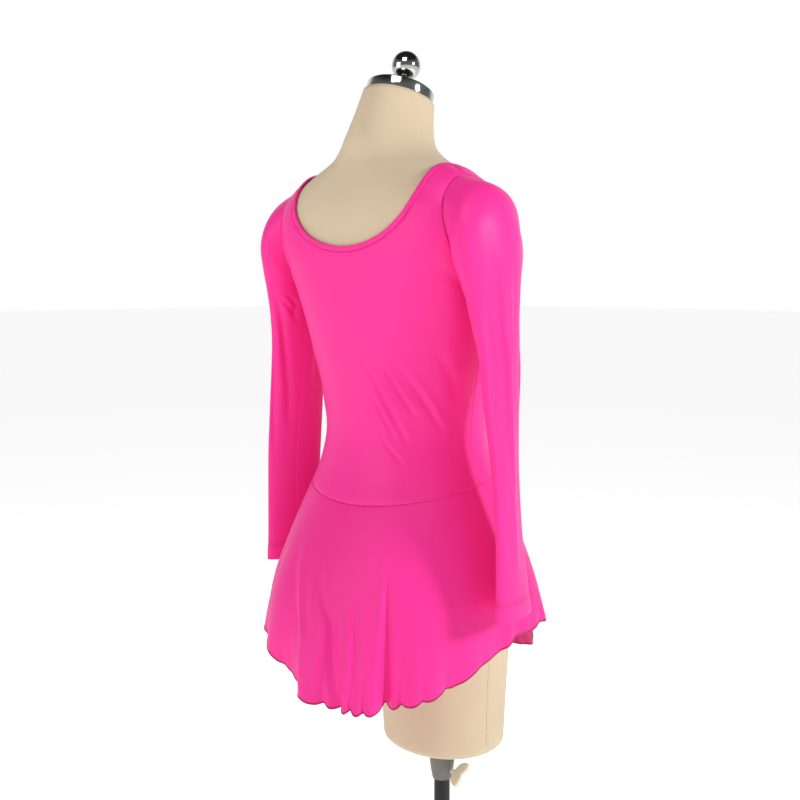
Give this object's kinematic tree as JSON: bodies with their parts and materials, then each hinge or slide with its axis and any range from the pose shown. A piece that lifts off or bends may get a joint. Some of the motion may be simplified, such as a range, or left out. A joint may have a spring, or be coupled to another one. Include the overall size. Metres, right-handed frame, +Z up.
{
  "type": "figure skating dress on a dress form",
  "caption": "Long-sleeved skating dress with a scooped back and a flared skirt, on a limbless dress form that rises and turns on a pole stand.",
  "frame": {"origin": "middle of the base's underside, under the pole's axis, on the floor", "axes": "+Z up; -Y is the front of the dress; +X is the wearer's left"},
  "size_m": [0.4794, 0.4433, 1.5133],
  "materials": {
    "satin": "soft sheen stretch knit",
    "linen": "matt plain weave",
    "steel": "polished",
    "grey_plastic": "matt",
    "cream_plastic": "satin",
    "black_paint": "satin"
  },
  "bodies": {
    "stand": {"base": "black_paint", "base_hub": "black_paint", "pole": "black_paint"},
    "slider": {"collar": "grey_plastic"},
    "form": {"form_trunk": "linen", "neck_cap": "steel", "ball_finial": "steel", "bodice_back": "satin", "bodice_front": "satin", "neck_band": "satin", "sleeve_left": "satin", "sleeve_right": "satin", "skirt_back": "satin", "skirt_front": "satin"},
    "screw": {"wing_screw": "cream_plastic"}
  },
  "joints": [
    {"name": "height_slide", "type": "slide", "parent": "stand", "child": "slider", "axis": [0, 0, 1], "range_m": [0, 0.16]},
    {"name": "form_turn", "type": "hinge", "parent": "slider", "child": "form", "pos_m": [0, 0, 0.508], "axis": [0, 0, 1], "continuous": true},
    {"name": "screw_turn", "type": "hinge", "parent": "slider", "child": "screw", "pos_m": [-0.03, 0, 0.461], "axis": [-1, 0, 0], "continuous": true}
  ]
}
